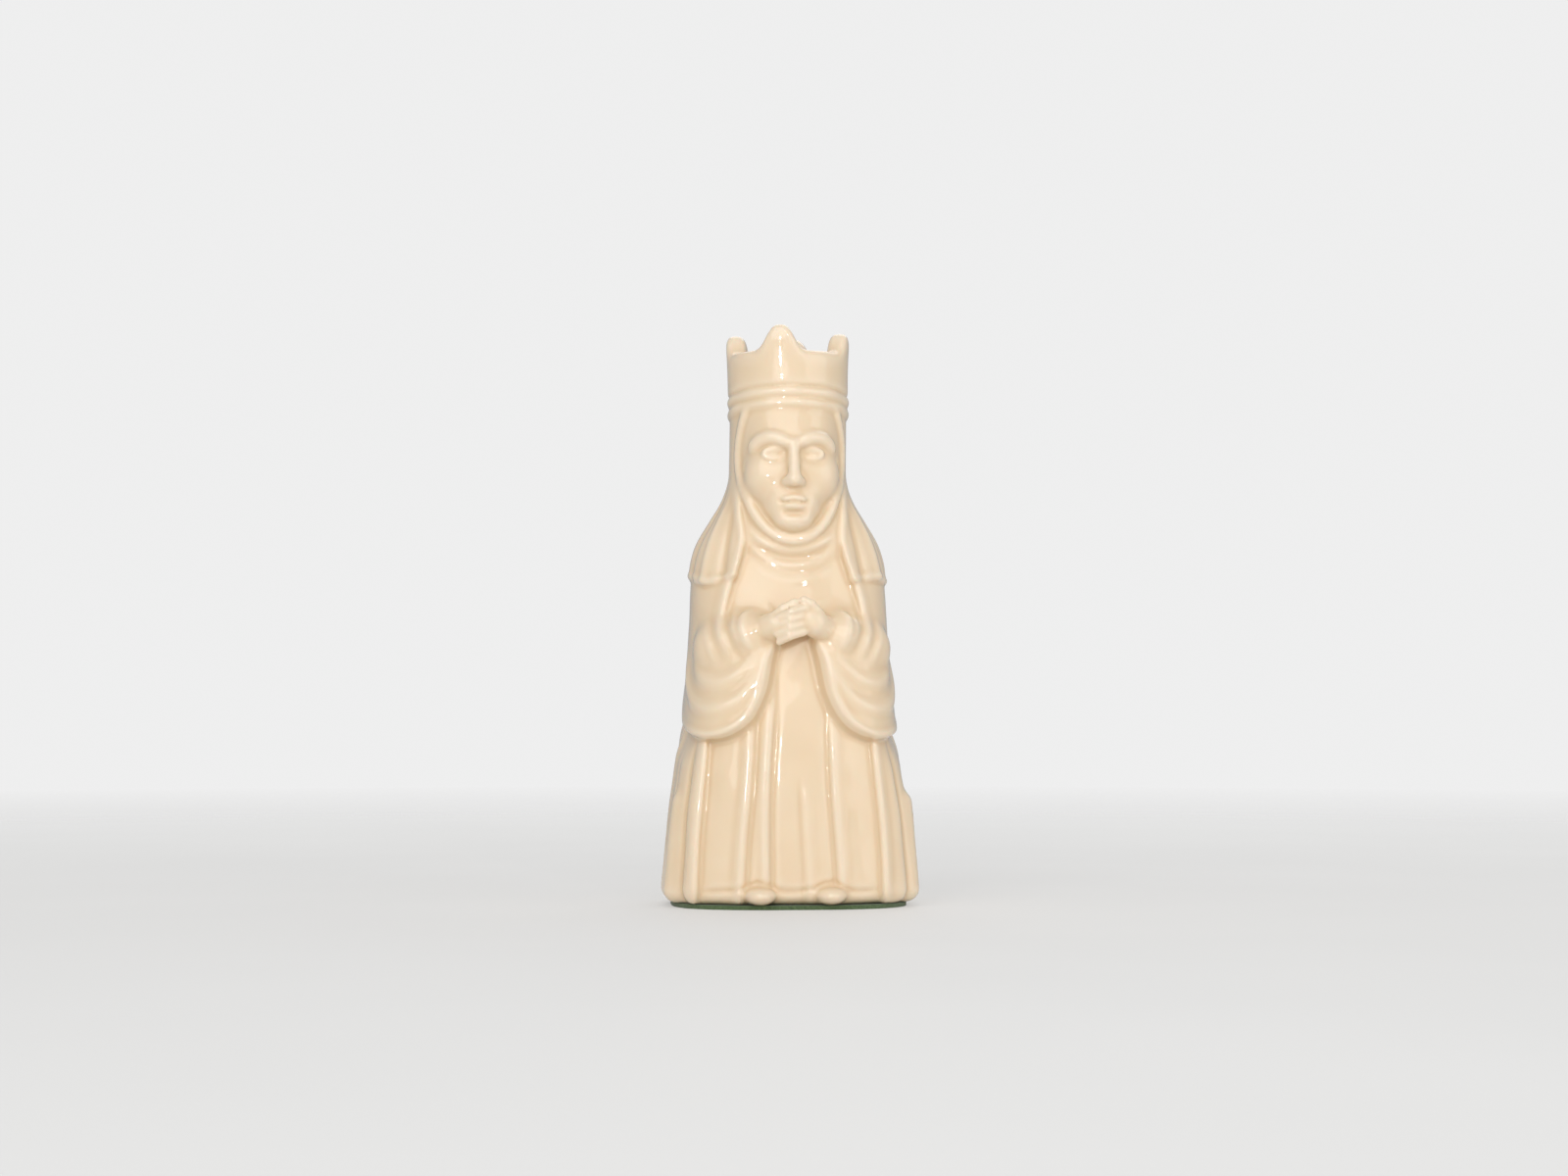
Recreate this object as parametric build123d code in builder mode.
"""Figural chess queen in glazed ceramic: a hollow slip-cast body, a felt pad and a cork bung.

Millimetres, +Z up, the queen faces -Y, origin under the middle of the foot.
"""
import os
from collections import namedtuple
from math import atan2, cos, degrees, pi, radians, sin

from build123d import *

# Overall
HEIGHT = 110.0              # table to the tip of the front crown point
FELT_THICKNESS = 0.8        # the ceramic starts on top of the felt
FOOT_CENTRE = 0.6           # the foot's middle, a little behind the origin to make room for the shoes
WALL = 4.2                  # cast wall, from the draped surface inwards
BEYOND = 40.0               # how far cutters reach past the figure
OVERLAP = 1.0               # how far neighbouring cutters reach into each other

# Draped figure: half width, half depth, front-to-back centre and squareness of the oval at each height
Level = namedtuple("Level", "height half_width half_depth centre squareness")
FIGURE = [
    Level(FELT_THICKNESS, 24.35, 19.4, FOOT_CENTRE, 2.9),
    Level(6.0, 23.8, 19.2, FOOT_CENTRE, 2.9),
    Level(12.0, 23.2, 19.0, FOOT_CENTRE, 2.9),
    Level(18.0, 22.5, 18.7, FOOT_CENTRE, 2.9),
    Level(24.0, 21.6, 18.3, 0.6, 2.85),
    Level(30.0, 20.6, 17.8, 0.6, 2.8),
    Level(36.0, 19.1, 17.3, 0.6, 2.75),
    Level(42.0, 18.3, 16.7, 0.7, 2.7),
    Level(48.0, 17.9, 16.1, 0.9, 2.6),
    Level(54.0, 18.1, 15.4, 1.2, 2.5),
    Level(58.0, 18.5, 14.8, 1.5, 2.45),
    Level(61.5, 18.6, 14.2, 1.8, 2.4),
    Level(65.0, 18.3, 13.6, 2.2, 2.3),
    Level(69.0, 17.1, 12.9, 2.5, 2.2),
    Level(73.0, 14.8, 12.3, 2.4, 2.1),
    Level(77.0, 12.4, 11.8, 2.0, 2.0),
    Level(81.0, 11.0, 11.4, 1.5, 2.0),
    Level(85.0, 10.8, 11.1, 1.2, 2.0),
    Level(89.0, 10.8, 10.9, 1.0, 2.0),
    Level(93.0, 10.8, 10.8, 1.0, 2.0),
    Level(97.0, 10.8, 10.8, 1.0, 2.0),
]
# the mantle narrows under the hanging sleeves by this much; the cavity doesn't
SLEEVE_HOLLOW = {30.0: 0.2, 36.0: 1.0, 42.0: 1.3, 48.0: 1.25, 54.0: 0.8, 58.0: 0.3}
SECTION_POINTS = 24
FOOT_ROUNDING = 1.6
HEAD_TOP = 97.0
CAVITY_FLOOR = 6.0
CAVITY_TOP = 89.0

# Layers of cloth, measured from the draped surface
VEIL = 0.45                 # the veil lies on the shoulders
GOWN = -1.1                 # the gown lies inside the open mantle
VEIL_HEM = 61.5
VEIL_RIM = 0.75             # the veil's rolled edge round the face stands out this much

# Open front of the mantle, and of the veil above its hem: half widths from the foot to the forehead
MANTLE_EDGE = [(17.2, 0.0), (16.2, 18.0), (14.6, 40.0), (11.8, 58.0), (9.6, 66.0), (9.0, 71.0),
               (9.3, 78.0), (9.6, 85.0), (9.3, 91.0), (8.6, 96.0)]
MANTLE_SHIFT = -0.9         # the opening hangs to one side, below MANTLE_SHIFT_TOP
MANTLE_SHIFT_TOP = 50.0

# Hanging sleeves: how far they stand off the mantle at each level, then their hem seen from the
# front and from the side, and the line of their shoulder behind the forearm
SLEEVE = {24.0: 1.7, 30.0: 1.7, 36.0: 1.7, 42.0: 1.7, 48.0: 1.45, 54.0: 0.85, 58.0: 0.4, 61.5: 0.15}
SLEEVE_FRONT_HEM = [(4.0, 50.5), (4.7, 46.0), (5.9, 39.5), (8.9, 34.2), (13.6, 31.7), (20.0, 32.2)]
SLEEVE_SIDE_HEM = [(-14.0, 31.0), (-6.0, 32.4), (-1.0, 34.6), (3.4, 38.4), (6.6, 44.0), (7.4, 54.0)]
SLEEVE_SHOULDER = [(BEYOND, 60.0), (12.6, 60.0), (12.2, 53.5), (7.0, 53.0)]
SLEEVE_TOP = 61.0

# Folds: grooves of one round section
FOLD_RADIUS = 1.5
FOLD_DEPTH = 0.7
FOLD_BOTTOM = 2.0
FOLD_OVERRUN = 0.1
GOWN_FOLDS = [(-9.1, -6.8), (-4.7, -3.4), (1.2, 0.8), (7.2, 5.4)]  # x at the hem and at the waist
GOWN_FOLD_TOP = 41.0
# angle from the front at the hem and at the top, and top height; each is mirrored
MANTLE_FOLDS = [(76.0, 74.0, 30.0), (97.0, 96.0, 46.0), (112.0, 116.0, 44.0), (128.0, 135.0, 56.0),
                (143.0, 149.0, 50.0), (160.0, 164.0, 58.0), (175.0, 177.0, 54.0)]
# the side folds break on the floor: upper and lower end of the crest, and its radius
FLOOR_FOLD = ((21.2, -7.4, 16.4), (22.1, -8.2, 3.4))
FLOOR_FOLD_RADIUS = 1.9

# Head: height, half width and front of each oval, about one centre
FACE_CENTRE = -2.5
FACE_SQUARENESS = 2.2
FACE = [(69.6, 2.6, -10.4), (71.2, 4.8, -11.9), (73.0, 6.2, -12.4), (76.0, 7.7, -12.2), (80.0, 8.8, -12.1),
        (85.0, 9.3, -11.9), (89.0, 9.3, -11.6), (93.0, 9.0, -10.5), (97.0, 8.4, -9.4)]
VEIL_RIM_INNER = [(8.8, 74.0), (9.0, 80.0), (9.1, 86.0), (8.8, 91.0), (8.5, 94.5)]  # half width, height
VEIL_RIM_WIDTH = 1.5
NOSE_BRIDGE = (0.0, -11.8, 87.2)
NOSE_TIP = (0.0, -13.6, 80.3)
NOSE_RADII = (0.75, 1.2)
SOCKET = (3.8, -12.4, 85.7)
SOCKET_RADII = (2.6, 1.6, 2.0)
EYE = (3.7, -9.75, 85.1)
EYE_RADII = (1.95, 1.25, 1.2)
LIPS = [(76.5, 0.7), (75.2, 0.75)]  # height and half height of the upper and the lower lip
LIP_RADII = (2.4, 0.9)
LIP_FRONT = -12.1
CHIN = (0.0, -11.2, 72.9)
CHIN_RADII = (3.0, 1.9, 2.0)

# Arms and hands: wide sleeves that end before the wrists, over tight inner sleeves
ELBOW = (13.9, -8.6, 48.4)
WRIST = (3.6, -16.0, 52.8)
ARM_RADIUS = 4.7
CUFF_RADIUS = 4.3
CUFF_ROLL = 0.75
CUFF_PLACE = 0.62           # share of the way from elbow to wrist
INNER_SLEEVE_RADIUS = 2.6
HAND_RADII = (3.8, 2.4, 2.9)
HANDS = [(-2.0, -16.3, 52.6, -20.0), (2.0, -16.9, 53.6, 20.0)]  # x, y, z and lean
FINGERS = 4
FINGER_RADIUS = 0.85
KNUCKLE = (0.9, -18.3, 55.7)
FINGER_TIP = (-3.8, -18.0, 54.0)
FINGER_PITCH = 1.55

# Shoe tips under the hem
SHOE_RADII = (3.2, 4.8, 1.8)
SHOE_X = 6.6
SHOE_HEIGHT = 2.6
SHOE_TIP = -20.0

# Crown
CROWN_CENTRE = 1.0          # the crown stands on the head, a little behind the middle of the foot
CROWN_TURN = -12.7          # its front point stands to one side
CROWN_BASE = 93.0
CROWN_FOOT = 97.4           # where the cup starts, over the headband
CROWN_FLOOR = 100.6
CROWN_FOOT_RADIUS = 11.3
CROWN_TOP_RADIUS = 11.8
CROWN_INNER_RADIUS = 8.2
FRONT_POINT = HEIGHT
SIDE_POINT = 108.7
CROWN_VALLEY = 105.2
POINT_SHOULDER = 2.7        # how far from its tip a point has lost half its height
VALLEY_HALF_WIDTH = 2.9
VALLEY_LIFT = 0.3
BAND_HEIGHTS = (93.9, 96.0)  # the two rolls of the headband
BAND_ROLL = 1.15
BAND_RADIUS = 10.45
BAND_ARCH = 1.2             # the headband rises this much at the front

# Filling hole and bung
HOLE_RADIUS = 5.0           # at the underside of the foot
HOLE_TAPER = 1 / 20         # radius lost for each millimetre up
BUNG_CLEARANCE = 0.06
BUNG_UNDERSIDE = 1.4        # the bung's head stays clear of the table
BUNG_LENGTH = 12.0
BUNG_CHAMFER = 0.5

# Felt
FELT_INSET = 2.0
FELT_HOLE_RADIUS = 5.4


def outline_radius(level, offset, angle):
    """Distance from the level's centre to its outline, which is a superellipse."""
    across = level.half_width + offset
    along = level.half_depth + offset
    power = level.squareness
    return (abs(cos(angle) / across) ** power + abs(sin(angle) / along) ** power) ** (-1 / power)


def oval(level, offset):
    """Points round a level's outline, offset outwards."""
    points = []
    for step in range(SECTION_POINTS):
        angle = 2 * pi * step / SECTION_POINTS
        reach = outline_radius(level, offset, angle)
        points.append((reach * cos(angle), level.centre + reach * sin(angle)))
    return points


def drape(lowest, highest, offset, mode=Mode.ADD):
    """Loft the figure's ovals between two heights into the part that is being built."""
    drape_levels([(level, offset) for level in FIGURE if lowest <= level.height <= highest], mode)


def drape_levels(levels, mode=Mode.ADD):
    """Loft ovals, each with its own offset, into the part that is being built."""
    sections = []
    for level, offset in levels:
        with BuildSketch(Plane.XY.offset(level.height)) as section:
            with BuildLine():
                Spline(*oval(level, offset), periodic=True)
            make_face()
        sections.append(section.sketch)
    loft(sections, mode=mode)


def level_at(height):
    """The figure's level at any height, between the given ones."""
    above = next(level for level in FIGURE if level.height >= height)
    below = FIGURE[FIGURE.index(above) - 1]
    share = (height - below.height) / (above.height - below.height)
    return Level(*(low + share * (high - low) for low, high in zip(below, above)))


def angle_of(x, height, offset):
    """Angle from the front, in degrees, at which the draped surface has this x."""
    level = level_at(height)
    share = abs(x) / (level.half_width + offset)
    along = (level.half_depth + offset) * (1 - share ** level.squareness) ** (1 / level.squareness)
    return degrees(atan2(x, along))


def skin(angle, height, offset, outside):
    """Point of the draped surface at an angle from the front, moved outwards."""
    level = level_at(height)
    turn = radians(angle - 90)
    reach = outline_radius(level, offset, turn) + outside
    return Vector(reach * cos(turn), level.centre + reach * sin(turn), height)


def ellipsoid(radii):
    """An egg shape centred on the origin."""
    with BuildPart() as egg:
        Sphere(1)
        scale(by=radii)
    return egg.part


def tube(start, end, start_radius, end_radius):
    """A straight taper with flat ends, added to the part that is being built."""
    direction = Vector(*end) - Vector(*start)
    sections = []
    for origin, radius in ((start, start_radius), (end, end_radius)):
        with BuildSketch(Plane(origin=origin, z_dir=direction)) as section:
            Circle(radius)
        sections.append(section.sketch)
    loft(sections)


def limb(start, end, start_radius, end_radius):
    """A straight taper with round ends, added to the part that is being built."""
    tube(start, end, start_radius, end_radius)
    for origin, radius in ((start, start_radius), (end, end_radius)):
        with Locations(origin):
            Sphere(radius)


def groove(low_angle, high_angle, top, offset):
    """Cut one fold down the cloth, from its full depth at the hem to nothing at the top."""
    low = skin(low_angle, FOLD_BOTTOM, offset, FOLD_RADIUS - FOLD_DEPTH)
    high = skin(high_angle, top, offset, FOLD_RADIUS)
    past_the_hem = low - (high - low) * FOLD_OVERRUN
    with BuildLine() as path:
        Line(past_the_hem, high)
    with BuildSketch(Plane(origin=past_the_hem, z_dir=high - low)) as section:
        Circle(FOLD_RADIUS)
    sweep(section.sketch, path=path.line, mode=Mode.SUBTRACT)


def hole_radius(height):
    """Radius of the tapered filling hole at a height over the table."""
    return HOLE_RADIUS - (height - FELT_THICKNESS) * HOLE_TAPER


# Forms of the cast body -----------------------------------------------------------------------

def mantle_edge(side):
    """One edge of the open front, with its sideways shift fading out up the figure."""
    points = []
    for half_width, height in MANTLE_EDGE:
        shift = MANTLE_SHIFT * max(0.0, 1 - height / MANTLE_SHIFT_TOP)
        points.append((side * half_width + shift, height))
    return points


with BuildPart() as open_front:
    right, left = mantle_edge(1), mantle_edge(-1)
    with BuildSketch(Plane.XZ):
        with BuildLine():
            Spline(*right)
            Line(right[-1], left[-1])
            Spline(*reversed(left))
            Line(left[0], right[0])
        make_face()
    extrude(amount=BEYOND)

with BuildPart() as hanging_sleeves:
    drape_levels([(level, SLEEVE[level.height]) for level in FIGURE if level.height in SLEEVE])
    with BuildSketch(Plane.XZ.offset(-BEYOND)):
        with BuildLine():
            Spline(*SLEEVE_FRONT_HEM)
            Polyline(SLEEVE_FRONT_HEM[-1], (BEYOND, SLEEVE_FRONT_HEM[-1][1]), *SLEEVE_SHOULDER,
                     SLEEVE_FRONT_HEM[0])
        make_face()
        mirror(about=Plane.YZ)
    extrude(amount=2 * BEYOND, mode=Mode.INTERSECT)
    with BuildSketch(Plane.YZ.offset(-BEYOND)):
        with BuildLine():
            Spline(*SLEEVE_SIDE_HEM)
            Polyline(SLEEVE_SIDE_HEM[-1], (SLEEVE_SIDE_HEM[-1][0], SLEEVE_TOP), (-BEYOND, SLEEVE_TOP),
                     (-BEYOND, SLEEVE_SIDE_HEM[0][1]), SLEEVE_SIDE_HEM[0])
        make_face()
    extrude(amount=2 * BEYOND, mode=Mode.INTERSECT)

with BuildPart() as veil_rim:
    drape(VEIL_HEM, HEAD_TOP, VEIL_RIM)
    outer_rim = [(x + VEIL_RIM_WIDTH, height) for x, height in VEIL_RIM_INNER]
    with BuildSketch(Plane.XZ):
        with BuildLine():
            Spline(*VEIL_RIM_INNER)
            Line(VEIL_RIM_INNER[-1], outer_rim[-1])
            Spline(*reversed(outer_rim))
            Line(outer_rim[0], VEIL_RIM_INNER[0])
        make_face()
        mirror(about=Plane.YZ)
    extrude(amount=BEYOND, mode=Mode.INTERSECT)

with BuildPart() as head:
    sections = []
    for height, half_width, front in FACE:
        level = Level(height, half_width, FACE_CENTRE - front, FACE_CENTRE, FACE_SQUARENESS)
        with BuildSketch(Plane.XY.offset(height)) as section:
            with BuildLine():
                Spline(*oval(level, 0), periodic=True)
            make_face()
        sections.append(section.sketch)
    loft(sections)
    for side in (-1, 1):
        with Locations((side * SOCKET[0], *SOCKET[1:])):
            add(ellipsoid(SOCKET_RADII), mode=Mode.SUBTRACT)
        with Locations((side * EYE[0], *EYE[1:])):
            add(ellipsoid(EYE_RADII))
    limb(NOSE_BRIDGE, NOSE_TIP, *NOSE_RADII)
    for height, half_height in LIPS:
        with Locations((0, LIP_FRONT, height)):
            add(ellipsoid((*LIP_RADII, half_height)))
    with Locations(CHIN):
        add(ellipsoid(CHIN_RADII))

with BuildPart() as arm:
    elbow, wrist = Vector(*ELBOW), Vector(*WRIST)
    cuff = elbow + (wrist - elbow) * CUFF_PLACE
    tube(ELBOW, tuple(cuff), ARM_RADIUS, CUFF_RADIUS)
    tube(ELBOW, WRIST, INNER_SLEEVE_RADIUS, INNER_SLEEVE_RADIUS)
    with Locations(ELBOW):
        Sphere(ARM_RADIUS)
    with Locations(Plane(origin=cuff, z_dir=wrist - elbow)):
        Torus(CUFF_RADIUS - CUFF_ROLL, CUFF_ROLL)

with BuildPart() as hands:
    for x, y, height, lean in HANDS:
        with Locations((x, y, height)):
            add(ellipsoid(HAND_RADII), rotation=(0, lean, 0))
    for number in range(FINGERS):
        drop = Vector(0, 0, number * FINGER_PITCH)
        limb(tuple(Vector(*KNUCKLE) - drop), tuple(Vector(*FINGER_TIP) - drop), FINGER_RADIUS, FINGER_RADIUS)

with BuildPart() as crown_notch:
    half_pitch = CROWN_TOP_RADIUS * sin(pi / 4)
    with BuildSketch(Plane(origin=(0, 0, 0), x_dir=(1, 1, 0), z_dir=(1, -1, 0))):
        with BuildLine():
            Spline((-half_pitch, FRONT_POINT),
                   (POINT_SHOULDER - half_pitch, (FRONT_POINT + CROWN_VALLEY) / 2),
                   (-VALLEY_HALF_WIDTH, CROWN_VALLEY + VALLEY_LIFT),
                   (0, CROWN_VALLEY),
                   (VALLEY_HALF_WIDTH, CROWN_VALLEY + VALLEY_LIFT),
                   (half_pitch - POINT_SHOULDER, (SIDE_POINT + CROWN_VALLEY) / 2),
                   (half_pitch, SIDE_POINT), tangents=[(1, 0), (1, 0)])
            Polyline((half_pitch, SIDE_POINT), (half_pitch + OVERLAP, SIDE_POINT),
                     (half_pitch + OVERLAP, BEYOND + HEIGHT), (-half_pitch - OVERLAP, BEYOND + HEIGHT),
                     (-half_pitch - OVERLAP, FRONT_POINT), (-half_pitch, FRONT_POINT))
        make_face()
    extrude(amount=BEYOND)

# The cast body --------------------------------------------------------------------------------

with BuildPart() as ceramic_body:
    # mantle from the foot to the head, and the veil over its shoulders
    drape(FELT_THICKNESS, HEAD_TOP, 0)
    fillet(ceramic_body.edges().group_by(Axis.Z)[0], FOOT_ROUNDING)
    drape(VEIL_HEM, HEAD_TOP, VEIL)
    for side in (-1, 1):
        (x_top, *top), (x_low, *low) = FLOOR_FOLD
        limb((side * x_top, *top), (side * x_low, *low), FLOOR_FOLD_RADIUS, FLOOR_FOLD_RADIUS)

    # the mantle's open front with the gown inside it, and the folds of both
    add(open_front.part, mode=Mode.SUBTRACT)
    drape(FELT_THICKNESS, HEAD_TOP, GOWN)
    for hem_x, waist_x in GOWN_FOLDS:
        low_angle = angle_of(hem_x, FOLD_BOTTOM, GOWN)
        groove(low_angle, angle_of(waist_x, GOWN_FOLD_TOP, GOWN), GOWN_FOLD_TOP, GOWN)
    for low_angle, high_angle, top in MANTLE_FOLDS:
        for side in (-1, 1):
            groove(side * low_angle, side * high_angle, top, 0)

    # rolled edge of the veil, and the head inside it
    add(veil_rim.part)
    add(head.part)

    # hanging sleeves, arms, folded hands and shoe tips
    add(hanging_sleeves.part)
    add(arm.part)
    add(mirror(arm.part, about=Plane.YZ, mode=Mode.PRIVATE))
    add(hands.part)
    for x in (-SHOE_X, SHOE_X):
        with Locations((x, SHOE_TIP + SHOE_RADII[1], SHOE_HEIGHT)):
            add(ellipsoid(SHOE_RADII))

    # crown: a cup with four rounded points, on an arched headband of two rolls
    with BuildSketch(Plane.XZ.offset(-CROWN_CENTRE)):
        with BuildLine():
            Polyline((0, CROWN_BASE), (BAND_RADIUS, CROWN_BASE), (CROWN_FOOT_RADIUS, CROWN_BASE + BAND_ARCH),
                     (CROWN_FOOT_RADIUS, CROWN_FOOT), (CROWN_TOP_RADIUS, HEIGHT + OVERLAP),
                     (CROWN_INNER_RADIUS, HEIGHT + OVERLAP), (CROWN_INNER_RADIUS, CROWN_FLOOR),
                     (0, CROWN_FLOOR), close=True)
        make_face()
    revolve(axis=Axis((0, CROWN_CENTRE, 0), (0, 0, 1)))
    lean = degrees(atan2(-BAND_ARCH, BAND_RADIUS))
    for height in BAND_HEIGHTS:
        with Locations((0, CROWN_CENTRE, height)):
            Torus(BAND_RADIUS, BAND_ROLL, rotation=(lean, 0, 0))
    for notch in (crown_notch.part, mirror(crown_notch.part, about=Plane.YZ, mode=Mode.PRIVATE)):
        for turn in (0, 180):
            with Locations((0, CROWN_CENTRE, 0)):
                add(notch, rotation=(0, 0, turn + CROWN_TURN), mode=Mode.SUBTRACT)

    # hollow inside, and the filling hole through the foot
    cavity = []
    for level in FIGURE:
        if CAVITY_FLOOR <= level.height <= CAVITY_TOP:
            widened = level.half_width + SLEEVE_HOLLOW.get(level.height, 0)
            cavity.append((level._replace(half_width=widened), -WALL))
    drape_levels(cavity, Mode.SUBTRACT)
    with Locations((0, FOOT_CENTRE, FELT_THICKNESS)):
        Cone(hole_radius(FELT_THICKNESS), hole_radius(CAVITY_FLOOR), CAVITY_FLOOR - FELT_THICKNESS,
             align=(Align.CENTER, Align.CENTER, Align.MIN), mode=Mode.SUBTRACT)
ceramic_body.part.label = "ceramic_body"

# Felt under the foot --------------------------------------------------------------------------

with BuildPart() as felt_pad:
    with BuildSketch(Plane.XY):
        with BuildLine():
            Spline(*oval(FIGURE[0], -FELT_INSET), periodic=True)
        make_face()
        with Locations((0, FOOT_CENTRE)):
            Circle(FELT_HOLE_RADIUS, mode=Mode.SUBTRACT)
    extrude(amount=FELT_THICKNESS)
felt_pad.part.label = "felt_pad"

# Cork in the filling hole ---------------------------------------------------------------------

with BuildPart() as cork_bung:
    with Locations((0, FOOT_CENTRE, BUNG_UNDERSIDE)):
        Cone(hole_radius(BUNG_UNDERSIDE) - BUNG_CLEARANCE,
             hole_radius(BUNG_UNDERSIDE + BUNG_LENGTH) - BUNG_CLEARANCE, BUNG_LENGTH,
             align=(Align.CENTER, Align.CENTER, Align.MIN))
    chamfer(cork_bung.edges().filter_by(GeomType.CIRCLE), BUNG_CHAMFER)
cork_bung.part.label = "cork_bung"

os.makedirs("parts", exist_ok=True)
for piece in (ceramic_body, felt_pad, cork_bung):
    export_step(piece.part, f"parts/{piece.part.label}.step")
